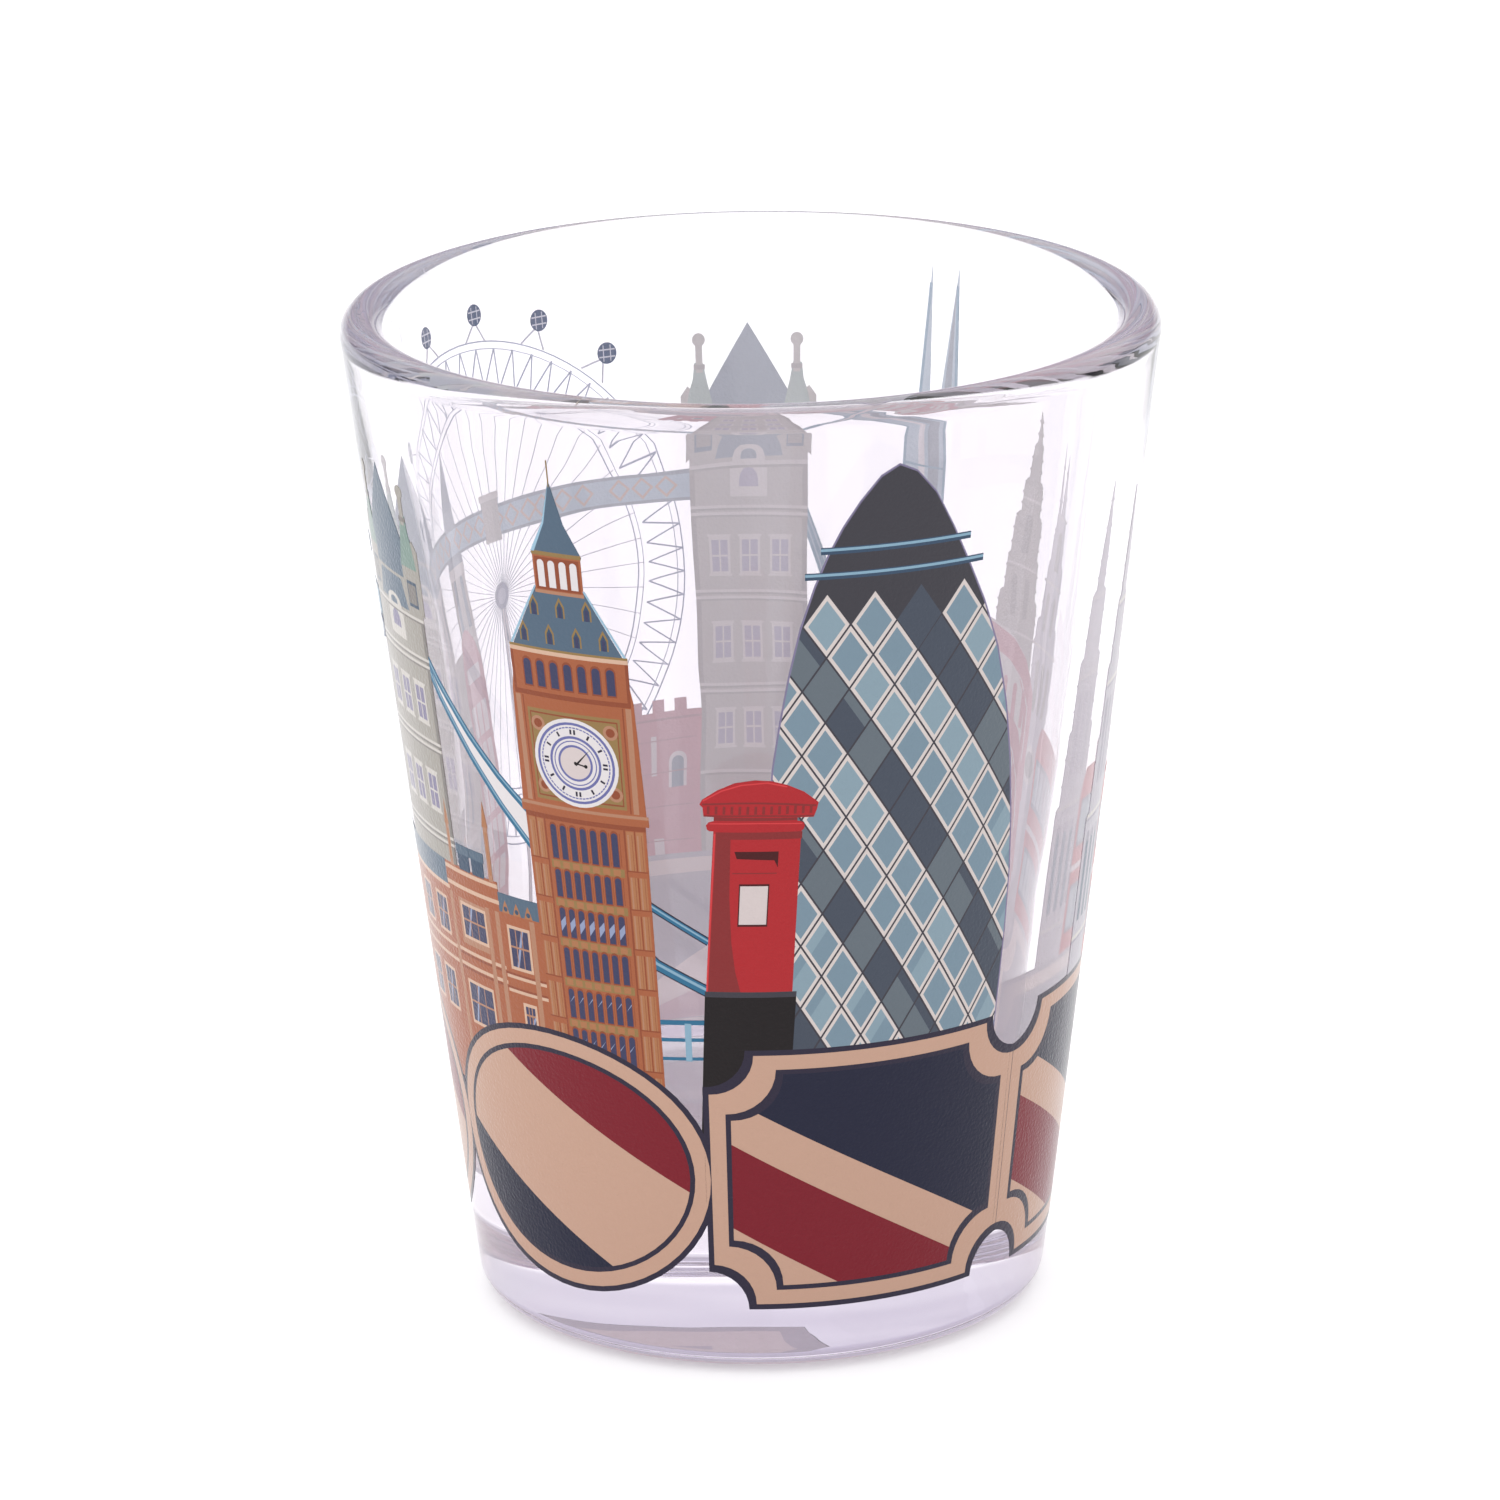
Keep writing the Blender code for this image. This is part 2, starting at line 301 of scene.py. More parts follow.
def corner(before, at, after, radius, steps):
    """An arc of a given radius that rounds the corner between two straight runs."""
    arm_in = math.atan2(before[1] - at[1], before[0] - at[0])
    arm_out = math.atan2(after[1] - at[1], after[0] - at[0])
    turn = (arm_out - arm_in + math.pi) % math.tau - math.pi
    reach = radius / math.sin(abs(turn) / 2)
    middle = arm_in + turn / 2
    centre = (at[0] + reach * math.cos(middle), at[1] + reach * math.sin(middle))
    side = math.copysign(math.pi / 2, turn)
    sweep = math.copysign(math.pi - abs(turn), turn)
    return arc(centre, radius, arm_in - side, arm_in - side - sweep, steps)


def turns(count):
    """Equal turns round a circle."""
    return [math.tau * i / count for i in range(count)]


def straight(start, end, steps):
    """Points between two ends, without the ends."""
    shares = [i / steps for i in range(1, steps)]
    return [(start[0] + (end[0] - start[0]) * s, start[1] + (end[1] - start[1]) * s) for s in shares]


def glass_profile():
    """Half section from the inner floor, up the inner wall, over the rim and down to the underside."""
    rim = RIM_WALL / 2
    floor_corner = (wall_radius(FLOOR_HEIGHT) - FLOOR_WALL, FLOOR_HEIGHT)
    inner_rim = (wall_radius(HEIGHT) - RIM_WALL, HEIGHT - rim)
    rim_centre = (wall_radius(HEIGHT - rim) - rim / math.cos(WALL_LEAN), HEIGHT - rim)
    floor_arc = corner((0.0, FLOOR_HEIGHT), floor_corner, inner_rim, FLOOR_FILLET, 16)
    rim_arc = arc(rim_centre, rim, math.pi, -WALL_LEAN, 32)
    heel_arc = corner((RIM_RADIUS, HEIGHT), (FOOT_RADIUS, 0.0), (0.0, 0.0), HEEL_FILLET, 20)
    points = straight((0.0, FLOOR_HEIGHT), floor_arc[0], 12)
    points += floor_arc + straight(floor_arc[-1], rim_arc[0], 40)
    inner_count = len(points)
    points += rim_arc + straight(rim_arc[-1], heel_arc[0], 24)
    points += heel_arc + straight(heel_arc[-1], (0.0, 0.0), 12)
    return points, inner_count, len(rim_arc)


def glass_mesh():
    """The turned glass. Its inner wall and rim carry the slow ripples that pressing leaves."""
    points, inner_count, rim_count = glass_profile()
    dice = random.Random(7)
    waves = [(dice.randint(2, 9), dice.uniform(0, math.tau), dice.uniform(60, 260)) for _ in range(7)]
    verts = [(0.0, 0.0, FLOOR_HEIGHT)]
    for row, (radius, height) in enumerate(points):
        rippled = 16 < row < inner_count + rim_count - 6
        for turn in range(TURNS):
            angle = math.tau * turn / TURNS
            offset = 0.0
            if rippled:
                offset = sum(math.sin(n * angle + phase + rise * height) for n, phase, rise in waves)
            around = radius + RIPPLE * offset / 2
            verts.append((around * math.sin(angle), -around * math.cos(angle), height))
    verts.append((0.0, 0.0, 0.0))
    last = len(verts) - 1
    rows = len(points)
    faces = []
    for turn in range(TURNS):
        after = (turn + 1) % TURNS
        faces.append((0, 1 + turn, 1 + after))
        faces.append((last, last - TURNS + after, last - TURNS + turn))
        for row in range(rows - 1):
            a = 1 + row * TURNS
            b = a + TURNS
            faces.append((a + turn, b + turn, b + after, a + after))
    mesh = bpy.data.meshes.new("glass")
    mesh.from_pydata(verts, [], faces)
    mesh.shade_smooth()
    return mesh


def make_glass():
    glass = place("glass", glass_mesh())
    glass.data.materials.append(glass_material())
    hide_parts("glass_body")
    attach(glass, "root")


# ---------------------------------------------------------------- drawing

def degree(height):
    """Millimetres that one degree spans at a height in millimetres."""
    return wall_radius(height * MM) / MM * math.pi / 180


def oval(x, y, wide, high, angles):
    """Points round an ellipse at some angles."""
    return [(x + wide * math.cos(a), y + high * math.sin(a)) for a in angles]


def inside(point, outline):
    """Whether a point lies in an outline."""
    x, y = point
    result = False
    for (x0, y0), (x1, y1) in zip(outline, outline[1:] + outline[:1]):
        if (y0 > y) != (y1 > y) and x < x0 + (y - y0) * (x1 - x0) / (y1 - y0):
            result = not result
    return result


def signed_area(points):
    """Area of an outline, positive if it runs anticlockwise."""
    pairs = zip(points, points[1:] + points[:1])
    return sum(x0 * y1 - x1 * y0 for (x0, y0), (x1, y1) in pairs) / 2


class Shape:
    """One flat area of ink. It shows only inside the shape that it lies within, if one is named."""

    def __init__(self, picture, ink, points, within):
        self.picture = picture
        self.ink = ink
        self.points = points if signed_area(points) > 0 else points[::-1]
        self.within = within
        xs = [x for x, y in points]
        ys = [y for x, y in points]
        self.low = (min(xs), min(ys))
        self.high = (max(xs), max(ys))

    def meets(self, low, high):
        """Whether the shape's box overlaps another box."""
        across = self.low[0] < high[0] and self.high[0] > low[0]
        return across and self.low[1] < high[1] and self.high[1] > low[1]


class Picture:
    """One ink film of the print. Places are degrees from its centre and millimetres of height."""

    painted = []  # every shape of the print, from back to front
    level = 38.0  # the height at which a leaning picture stands on its centre

    def __init__(self, node, slot, centre=0.0, lean=0.0):
        self.node = node
        self.slot = slot
        self.centre = centre
        self.lean = lean
        self.grounds = []

    def spot(self, x, y):
        """A place in the picture as a place on the glass."""
        return (self.centre + x + self.lean * (y - self.level), y)

    def shape(self, ink, points, within=None, ground=False):
        """An area of ink. A ground is one that other shapes of its picture are drawn on."""
        shape = Shape(self, ink, [self.spot(x, y) for x, y in points], within)
        Picture.painted.append(shape)
        if ground:
            self.grounds.append(shape)
        return shape

    def block(self, ink, x0, y0, x1, y1, **more):
        return self.shape(ink, [(x0, y0), (x1, y0), (x1, y1), (x0, y1)], **more)

    def blocks(self, *rows, **more):
        """Several blocks, each from its ink and corners."""
        for row in rows:
            self.block(*row, **more)

    def post(self, ink, x, half, y0, y1, **more):
        """A block from its middle and half its width."""
        self.block(ink, x - half, y0, x + half, y1, **more)

    def both(self, ink, points, **more):
        """The same shape on the left and on the right of the centre."""
        self.shape(ink, points, **more)
        self.shape(ink, [(-x, y) for x, y in points], **more)

    def whole(self, ink, half, **more):
        """A symmetric shape from its right half, from the foot up."""
        left = [(-x, y) for x, y in reversed(half) if x > 0]
        self.shape(ink, half + left, **more)

    def disc(self, ink, x, y, radius, steps=24, **more):
        """A round spot; its radius is in millimetres."""
        self.shape(ink, oval(x, y, radius / degree(y), radius, turns(steps)), **more)

    def arch(self, ink, x0, y0, x1, y1, steps=6):
        """An opening with a round head."""
        middle = (x0 + x1) / 2
        half = (x1 - x0) / 2
        head = min(half * degree(y1), (y1 - y0) * 0.6)
        over = [math.pi * i / steps for i in range(steps + 1)]
        return self.shape(ink, [(x0, y0), (x1, y0)] + oval(middle, y1 - head, half, head, over))

    def ribbon(self, ink, points, width, **more):
        """A stroke along a run of points; its width is in millimetres."""
        left = []
        right = []
        for i, (x, y) in enumerate(points):
            x0, y0 = points[max(i - 1, 0)]
            x1, y1 = points[min(i + 1, len(points) - 1)]
            scale = degree(y)
            dx = (x1 - x0) * scale
            dy = y1 - y0
            length = math.hypot(dx, dy)
            nx = -dy / length * width / 2 / scale
            ny = dx / length * width / 2
            left.append((x + nx, y + ny))
            right.append((x - nx, y - ny))
        self.shape(ink, left + right[::-1], **more)

    def ring(self, ink, x, y, radius, width, steps=24):
        """A circle, drawn as four ribbons; radius and width are in millimetres."""
        for quarter in range(4):
            sweep = [math.radians(90 * quarter + 90 * i / steps) for i in range(steps + 1)]
            self.ribbon(ink, oval(x, y, radius / degree(y), radius, sweep), width)

    def row(self, draw, ink, xs, y0, y1, width):
        """The same opening at several places along a storey."""
        for x in xs:
            draw(ink, x - width / 2, y0, x + width / 2, y1)


def spaced(first, last, count):
    """Evenly spaced places, both ends included."""
    return [first + (last - first) * i / (count - 1) for i in range(count)]


def cut_up(picture):
    """Cuts a picture into triangles, and gives the ink of the shape on top in each.

    A triangle under another picture's shape is left out. What that picture draws wholly on one of its
    grounds hides nothing more than the ground does, so it isn't cut round.
    """
    own = [s for s in Picture.painted if s.picture is picture]
    low = (min(s.low[0] for s in own), min(s.low[1] for s in own))
    high = (max(s.high[0] for s in own), max(s.high[1] for s in own))
    shapes = []
    for shape in Picture.painted:
        if shape.picture is picture:
            shapes.append(shape)
            continue
        for turn in (-360.0, 0.0, 360.0):
            if shape.within or not shape.meets((low[0] - turn, low[1]), (high[0] - turn, high[1])):
                continue
            grounds = [g for g in shape.picture.grounds if g is not shape]
            if any(all(inside(p, g.points) for p in shape.points) for g in grounds):
                continue
            moved = [(x + turn, y) for x, y in shape.points]
            shapes.append(Shape(shape.picture, shape.ink, moved, None))
    verts = []
    faces = []
    for shape in shapes:
        start = len(verts)
        verts += [Vector((x * SKETCH_DEGREE, y)) for x, y in shape.points]
        faces.append(list(range(start, len(verts))))
    edges = []
    for fold in range(math.floor(low[0] / FOLD), math.ceil(high[0] / FOLD) + 1):
        start = len(verts)
        verts.append(Vector((fold * FOLD * SKETCH_DEGREE, low[1] - 1)))
        verts.append(Vector((fold * FOLD * SKETCH_DEGREE, high[1] + 1)))
        edges.append((start, start + 1))
    points, _, triangles, _, _, sources = delaunay_2d_cdt(verts, edges, faces, 0, CUT_TOLERANCE)
    number = {id(shape): i for i, shape in enumerate(shapes)}
    kept = []
    inks = []
    for triangle, inputs in zip(triangles, sources):
        here = set(inputs)
        for i in sorted(here, reverse=True):
            limit = shapes[i].within
            if limit is None or number[id(limit)] in here:
                if shapes[i].picture is picture:
                    kept.append(tuple(triangle))
                    inks.append(shapes[i].ink)
                break
    places = [(p.x / SKETCH_DEGREE, p.y) for p in points]
    return places, kept, inks


def part_fans(triangles):
    """Gives each run of triangles that share edges round a point its own copy of that point."""
    leader = list(range(3 * len(triangles)))

    def find(i):
        while leader[i] != i:
            leader[i] = leader[leader[i]]
            i = leader[i]
        return i

    seen = {}
    for t, triangle in enumerate(triangles):
        for k in range(3):
            a, b = triangle[k], triangle[(k + 1) % 3]
            here = (3 * t + k, 3 * t + (k + 1) % 3)
            if (b, a) in seen:
                other = seen[(b, a)]
                leader[find(here[0])] = find(other[1])
                leader[find(here[1])] = find(other[0])
            seen[(a, b)] = here
    names = {}
    origin = []
    result = []
    for t, triangle in enumerate(triangles):
        corners = []
        for k in range(3):
            root = find(3 * t + k)
            if root not in names:
                names[root] = len(origin)
                origin.append(triangle[k])
            corners.append(names[root])
        result.append(tuple(corners))
    return origin, result


def on_wall(angle, height, depth):
    """The point at an angle in degrees and a height in millimetres, some way out of the wall."""
    radius = wall_radius(height * MM) + depth
    turn = math.radians(angle)
    return (radius * math.sin(turn), -radius * math.cos(turn), height * MM)


def make_film(picture, face_inks, under_inks):
    """The closed film of a picture: its face is just proud of the wall, and its back is in the wall."""
    places, triangles, inks = cut_up(picture)
    origin, triangles = part_fans(triangles)
    count = len(origin)
    verts = [on_wall(*places[i], INK_DEPTH) for i in origin]
    verts += [on_wall(*places[i], -INK_DEPTH) for i in origin]
    names = sorted(set(inks))
    index = {name: i for i, name in enumerate(names)}
    border = {}
    for triangle, ink in zip(triangles, inks):
        for k in range(3):
            border[(triangle[k], triangle[(k + 1) % 3])] = ink
    faces = list(triangles)
    slots = [index[ink] for ink in inks]
    for (a, b, c), ink in zip(triangles, inks):
        faces.append((c + count, b + count, a + count))
        slots.append(index[ink] + len(names))
    for (a, b), ink in border.items():
        if (b, a) not in border:
            faces.append((b, a, a + count, b + count))
            slots.append(index[ink])
    name = picture.node.replace("print_", "ink_film_")
    mesh = bpy.data.meshes.new(name)
    mesh.from_pydata(verts, [], faces)
    for ink in names:
        mesh.materials.append(face_inks[ink])
    for ink in names:
        mesh.materials.append(under_inks[ink])
    mesh.polygons.foreach_set("material_index", slots)
    mesh.shade_smooth()
    mesh.set_sharp_from_angle(angle=math.radians(40))
    film = place(name, mesh)
    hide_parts(picture.node)
    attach(film, "root")


# ---------------------------------------------------------------- the pictures

def big_wheel():
    """An observation wheel: a trussed ring with capsules outside it, spokes, a hub and its legs."""
    p = Picture("print_wheel", "ink_silver", 233.0)
    hub = 38.8
    inner, outer, capsules = 11.9, 15.2, 16.8  # radii in millimetres
    bays, seats = 62, 21
    wide = degree(hub) * 0.97  # the wheel is drawn a little wider than it is high

    def rim(radius, turn):
        return (radius * math.cos(turn) / wide, hub + radius * math.sin(turn))

    for turn in turns(48):
        p.ribbon("silver", [rim(0.5, turn), rim(inner, turn)], 0.035)
    for radius, width in ((inner, 0.08), (inner + 0.4, 0.05), (outer - 0.45, 0.05), (outer, 0.08)):
        p.ring("silver_line", 0, hub, radius, width)
    half = math.pi / bays
    for here in turns(bays):
        top = rim(outer - 0.45, here + half)
        p.ribbon("silver_line", [rim(inner + 0.4, here), top], 0.09)
        p.ribbon("silver_line", [top, rim(inner + 0.4, here + 2 * half)], 0.08)
    for turn in [math.tau * (i + 0.58) / seats for i in range(8)]:  # only the upper seats are drawn
        x, y = rim(capsules, turn)
        for side in (-0.055, 0.055):
            p.ribbon("silver", [rim(outer, turn + side), rim(capsules - 0.4, turn)], 0.10)
        p.disc("capsule", x, y, 0.66, 20)
        for shift in (-0.22, 0.22):
            p.ribbon("silver", [(x - 0.5 / wide, y + shift), (x + 0.5 / wide, y + shift)], 0.09)
            p.ribbon("silver", [(x + shift / wide, y - 0.5), (x + shift / wide, y + 0.5)], 0.07)
    for foot in (-5.5, 5.5):
        p.ribbon("silver_dark", [(foot, 16.0), (0.0, hub)], 0.34)
        p.ribbon("dial", [(foot, 16.0), (0.0, hub)], 0.22)
    p.disc("silver_dark", 0.3, hub, 0.75)
    p.disc("silver", 0.3, hub, 0.45)


def minster():
    """Two tall gabled fronts and a nave between them."""
    p = Picture("print_minster", "ink_stone", 258.0)
    p.block("stone", -12.5, 15, 12.5, 37, ground=True)
    for x in (-8.5, 8.5):
        p.shape("slate", [(x - 4.4, 41.5), (x + 4.4, 41.5), (x, 49.0)], ground=True)
        p.post("stone", x, 4.0, 15, 41.8, ground=True)
        p.post("stone_light", x, 4.2, 41.2, 41.9, ground=True)
        for y in (22, 27.5, 33, 38):
            p.row(p.arch, "slate_dark", (x - 2.0, x + 2.0), y, y + 3.2, 1.5)
            p.post("stone_light", x, 4.0, y - 1.1, y - 0.7)
        p.block("stone_dark", x + 3.1, 15, x + 4.0, 41.2)
    p.disc("stone_light", 0, 31.5, 1.5)
    p.disc("slate_dark", 0, 31.5, 1.15)
    p.arch("slate_dark", -1.8, 18, 1.8, 27)


def phone_kiosk():
    """A red street telephone kiosk with small panes."""
    p = Picture("print_phone_kiosk", "ink_red", 251.0)
    half = [(5.6, 14), (5.6, 34.4), (5.2, 36.0), (3.6, 37.3), (1.8, 37.9), (0, 38.1)]
    p.whole("castle", half, ground=True)
    p.block("plate", -3.6, 34.9, 3.6, 35.8)
    for y in spaced(15.0, 31.6, 8):
        for x in (-3.0, 0.0, 3.0):
            p.post("plate", x, 1.2, y, y + 1.9)


def castle_wall():
    """A stretch of battlemented wall in red stone, with an arched window and a slit."""
    p = Picture("print_castle_wall", "ink_brick", 197.0)
    p.block("castle", -6.2, 14, 7.4, 29.5, ground=True)
    for x in (-2.3, 1.9, 6.1):
        p.post("castle", x, 1.1, 29.4, 30.2, ground=True)
    p.block("castle_dark", -6.2, 29.0, 7.4, 29.15)
    p.arch("plate", -3.5, 24.8, 0.0, 27.0)
    p.arch("slate_dark", -2.9, 24.8, -0.6, 26.7)
    p.blocks(("plate", 2.4, 25.6, 3.5, 28.1), ("plate", 1.6, 14, 3.8, 21.8))
    for y in spaced(15.5, 27.8, 7):
        p.ribbon("castle_dark", [(-5.0, y), (0.0, y), (7.4, y)], 0.06)


def spire_tower():
    """A tall glass spire whose facets rise to two split tips."""
    p = Picture("print_spire_tower", "ink_pale_blue", 148.4)
    outline = [(-8.5, 14), (8.5, 14), (2.3, 57.2), (1.5, 48), (-0.1, 48), (-2.5, 57)]
    p.shape("steel_light", outline, ground=True)
    p.shape("dial", [(-2.6, 14), (1.4, 14), (1.2, 48), (0.2, 48)])
    p.shape("slate", [(-5.5, 14), (-2.8, 14), (-0.6, 47), (-2.2, 56), (-2.4, 50)])
    for y in spaced(17, 45, 9):
        reach = 8.5 - (y - 14) * 0.155
        p.ribbon("steel_blue", [(-reach, y), (0, y), (reach, y)], 0.10)
    for side in (-1, 1):
        p.ribbon("steel_blue", [(side * 8.4, 14), (side * 2.4, 56)], 0.2, ground=True)


def crocketed(p, ink, half, x):
    """A gothic outline with small knobs up its edges, from its right half."""
    points = []
    for (dx, y), (next_dx, next_y) in zip(half, half[1:]):
        points.append((dx, y))
        if y < 30:
            continue
        for share in (0.3, 0.7):
            edge = dx + (next_dx - dx) * share
            rise = y + (next_y - y) * share
            points += [(edge, rise - 0.12), (edge + 0.45, rise), (edge, rise + 0.12)]
    left = [(x - dx, y) for dx, y in reversed(points)]
    outline = [(x + dx, y) for dx, y in points] + [(x, half[-1][1])] + left
    p.shape(ink, outline, ground=True)


def abbey():
    """Two crocketed gothic towers behind a round brick hall."""
    p = Picture("print_abbey", "ink_stone", 120.0)
    tall = [
        (7.0, 14), (7.0, 37.2), (6.6, 38.6), (5.4, 38.9), (5.3, 41.0), (4.7, 41.2), (4.6, 43.4),
        (3.2, 43.8), (3.1, 45.4), (1.9, 45.8), (1.6, 47.6), (0.9, 48.0), (0.0, 49.6),
    ]
    slim = [
        (7.0, 14), (6.8, 33.6), (6.0, 34.0), (5.8, 38.0), (4.6, 38.3), (4.2, 41.6), (2.8, 42.0),
        (2.4, 44.4), (1.2, 44.8), (0.0, 48.4),
    ]
    crocketed(p, "lilac_stone", [(1.6, 36), (1.4, 43.0), (0.8, 44.0), (0.0, 49.0)], -10.4)
    for ink, half, x in (("stone", tall, 1.2), ("lilac_stone", slim, -12.6)):
        crocketed(p, ink, half, x)
        wide = half[1][0]
        for y, share in ((36.6, 1.0), (40.6, 0.75), (44.6, 0.45)):
            p.ribbon("stone_light", [(x - wide * share, y), (x, y), (x + wide * share, y)], 0.16)
        p.row(p.arch, "stone_dark", (x - wide * 0.45, x, x + wide * 0.45), 32.6, 35.8, wide * 0.26)
        p.row(p.arch, "stone_dark", (x - wide * 0.3, x + wide * 0.3), 37.6, 40.0, wide * 0.24)
        p.arch("stone_dark", x - wide * 0.18, 41.4, x + wide * 0.18, 43.8)
        p.disc("stone_light", x, 29.6, 1.2)
        p.disc("stone_dark", x, 29.6, 0.8)
    eaves = [
        (-8.4, 28.0), (-8.0, 32.0), (-6.6, 34.2), (-3.0, 35.6), (2.0, 36.4), (9.0, 36.9), (19.0, 37.2),
    ]
    p.shape("stone_light", [(-8.4, 14)] + eaves + [(19.0, 14)], ground=True)
    for drop in (0.9, 5.2, 9.6, 14.0):
        p.ribbon("castle", [(x, y - drop) for x, y in eaves], 1.5)
        p.ribbon("plate", [(x, y - drop - 0.75) for x, y in eaves], 0.16)
    for x in spaced(-4.5, 17.0, 7):
        top = 31.2 + (x + 4.5) * 0.06
        for drop in (0.0, 4.4):
            p.arch("castle", x - 0.7, top - drop, x + 0.7, top - drop + 2.2)


def monument():
    """A pale gothic tower with pinnacles, whose foot stands behind the bus."""
    p = Picture("print_monument", "ink_stone", 76.0)
    half = [
        (6.4, 14), (6.4, 30.4), (5.2, 30.8), (5.0, 35.0), (4.2, 35.4), (4.0, 39.4), (3.0, 39.8),
        (2.7, 43.4), (1.5, 43.8), (1.2, 46.4), (0.0, 50.4),
    ]
    crocketed(p, "lilac_stone", half, 0.0)
    for x in (-4.2, -1.4, 1.4, 4.2):
        p.arch("lilac_dark", x - 0.9, 24.0, x + 0.9, 29.6)
        p.arch("slate", x - 0.6, 24.0, x + 0.6, 29.0)
    for x in (-2.3, 0.0, 2.3):
        p.arch("lilac_dark", x - 0.7, 32.4, x + 0.7, 37.6)
    for y, wide in ((23.0, 6.4), (30.6, 6.0), (38.6, 4.0), (43.4, 2.5)):
        p.ribbon("stone_light", [(-wide, y), (0, y), (wide, y)], 0.22)
        p.ribbon("lilac_dark", [(-wide, y - 0.25), (0, y - 0.25), (wide, y - 0.25)], 0.12)


def bus():
    """A red double-decker bus from the side."""
    p = Picture("print_bus", "ink_red", 92.0)
    p.whole("red", [(12, 15), (12, 30.6), (11.2, 31.8), (10, 32.3)], ground=True)
    for y in (22.0, 27.4):
        p.block("slate_dark", -11.0, y, 11.0, y + 3.0)
        p.row(p.block, "pane_light", spaced(-9.3, 9.3, 6), y + 0.3, y + 2.7, 2.9)
    p.blocks(("plate", -12, 25.9, 12, 26.3), ("red_dark", -12, 18.4, 12, 18.8))
    for x in (-7.0, 7.0):
        p.disc("black", x, 16.6, 1.9)
        p.disc("stone_light", x, 16.6, 0.8)


def bridge_tower(node, centre, foot):
    """One tower of the bridge: a slate roof between corner turrets, a gable, and rows of windows."""
    p = Picture(node, "ink_stone", centre)
    p.whole("slate", [(9.0, 46), (7.4, 48.2), (5.4, 49.5), (0, 53.0)], ground=True)
    p.block("stone", -10.4, foot, 10.4, 46.6, ground=True)
    p.both("stone", [(5.6, 46), (11.0, 44.6), (11.0, 48.6), (9.8, 49.2), (5.6, 47.6)], ground=True)
    p.both(
        "copper_green",
        [(5.4, 47.4), (10.4, 47.4), (9.6, 48.8), (8.9, 49.6), (8.6, 50.6), (7.2, 50.6), (6.6, 49.4)],
        ground=True,
    )
    for x in (-7.8, 7.8):
        p.post("stone", x, 0.55, 50.0, 51.8, ground=True)
        p.disc("stone", x, 52.0, 0.42, 12, ground=True)
        p.post("stone_dark", x, 0.9, 50.2, 50.5, ground=True)
    p.both("stone_dark", [(9.5, foot), (10.4, foot), (10.4, 44.4), (9.5, 44.4)])
    p.shape("slate", [(-6.0, 44.6), (6.0, 44.6), (4.4, 46.4), (-4.4, 46.4)])
    p.block("stone_light", -3.3, 42.5, 3.3, 44.4)
    p.arch("stone_light", -2.9, 44.2, 2.9, 45.2)
    p.arch("mauve", -1.7, 43.1, 1.7, 44.15)
    p.arch("slate", -1.4, 44.5, 1.4, 44.95)
    p.both("slate_dark", [(6.6, 45.0), (9.6, 45.0), (9.6, 46.6), (6.6, 46.6)])
    p.both("stone_dark", [(6.8, 45.2), (9.3, 45.2), (9.3, 46.4), (6.8, 46.4)])
    for y in (44.3, 41.9, 41.5, 36.7, 36.3, 30.9, 30.5, 25.4):
        if y > foot + 1:
            p.post("stone_light", 0, 10.4, y - 0.08, y + 0.1)
            p.post("stone_dark", 0, 10.4, y - 0.2, y - 0.08)
    for y in (37.95, 32.5, 27.1):
        if y > foot + 1:
            for x in (-5.6, 0.0, 5.6):
                p.post("stone_light", x, 1.9, y - 0.2, y + 2.2)
                p.post("stone_light", x, 2.2, y + 2.2, y + 2.34)
                p.post("stone_light", x, 2.2, y - 0.3, y - 0.16)
                p.block("mauve", x - 1.45, y, x - 0.15, y + 2.0)
                p.block("mauve", x + 0.15, y, x + 1.45, y + 2.0)
                p.post("stone_light", x, 1.4, y + 0.95, y + 1.07)


def walkway():
    """The high walk between the towers: a blue girder with groups of tan diamonds, and a stone block."""
    p = Picture("print_bridge_walkway", "ink_steel_blue", 235.5)
    for ink, low, high in (("steel_light", 42.5, 44.2), ("slate", 42.4, 42.6), ("slate", 44.1, 44.3)):
        p.block(ink, -44.6, low, 44.3, high, ground=True)
    for group in (-36.0, -20.0, -8.0, 6.4, 21.0, 36.0):
        for x in (group - 4.4, group, group + 4.4):
            p.shape("tan", [(x - 2.1, 43.4), (x, 42.66), (x + 2.1, 43.4), (x, 44.1)])
            p.shape("steel_light", [(x - 1.5, 43.4), (x, 42.88), (x + 1.5, 43.4), (x, 43.9)])
    p.block("stone", -4.4, 42.1, 0.6, 45.0, ground=True)
    p.block("stone_light", -4.8, 44.7, 1.0, 45.1, ground=True)


def chain(node, upper, drop):
    """One of the bridge's chains: two blue links with a light sheet between them."""
    p = Picture(node, "ink_steel_blue")
    last = len(upper) - 1
    lower = [(x, y - drop * (0.3 + 1.2 * i / last)) for i, (x, y) in enumerate(upper)]
    p.shape("dial", upper + lower[::-1], ground=True)
    for link in (upper, lower):
        p.ribbon("steel_blue", link, 0.42, ground=True)
        p.ribbon("steel_light", [(x, y + 0.1) for x, y in link], 0.1)


def chains():
    """The chains that fall from the towers towards the banks."""
    west = [(-60.5, 42.8), (-56.5, 40.9), (-50.0, 38.3), (-44.0, 36.2), (-38.0, 34.4)]
    chain("print_bridge_chain_west", west, 1.5)
    east = [(171.5, 42.6), (166.0, 37.9), (159.0, 33.2), (150.0, 28.4), (141.0, 24.6), (134.0, 22.4)]
    chain("print_bridge_chain_east", east, 1.9)


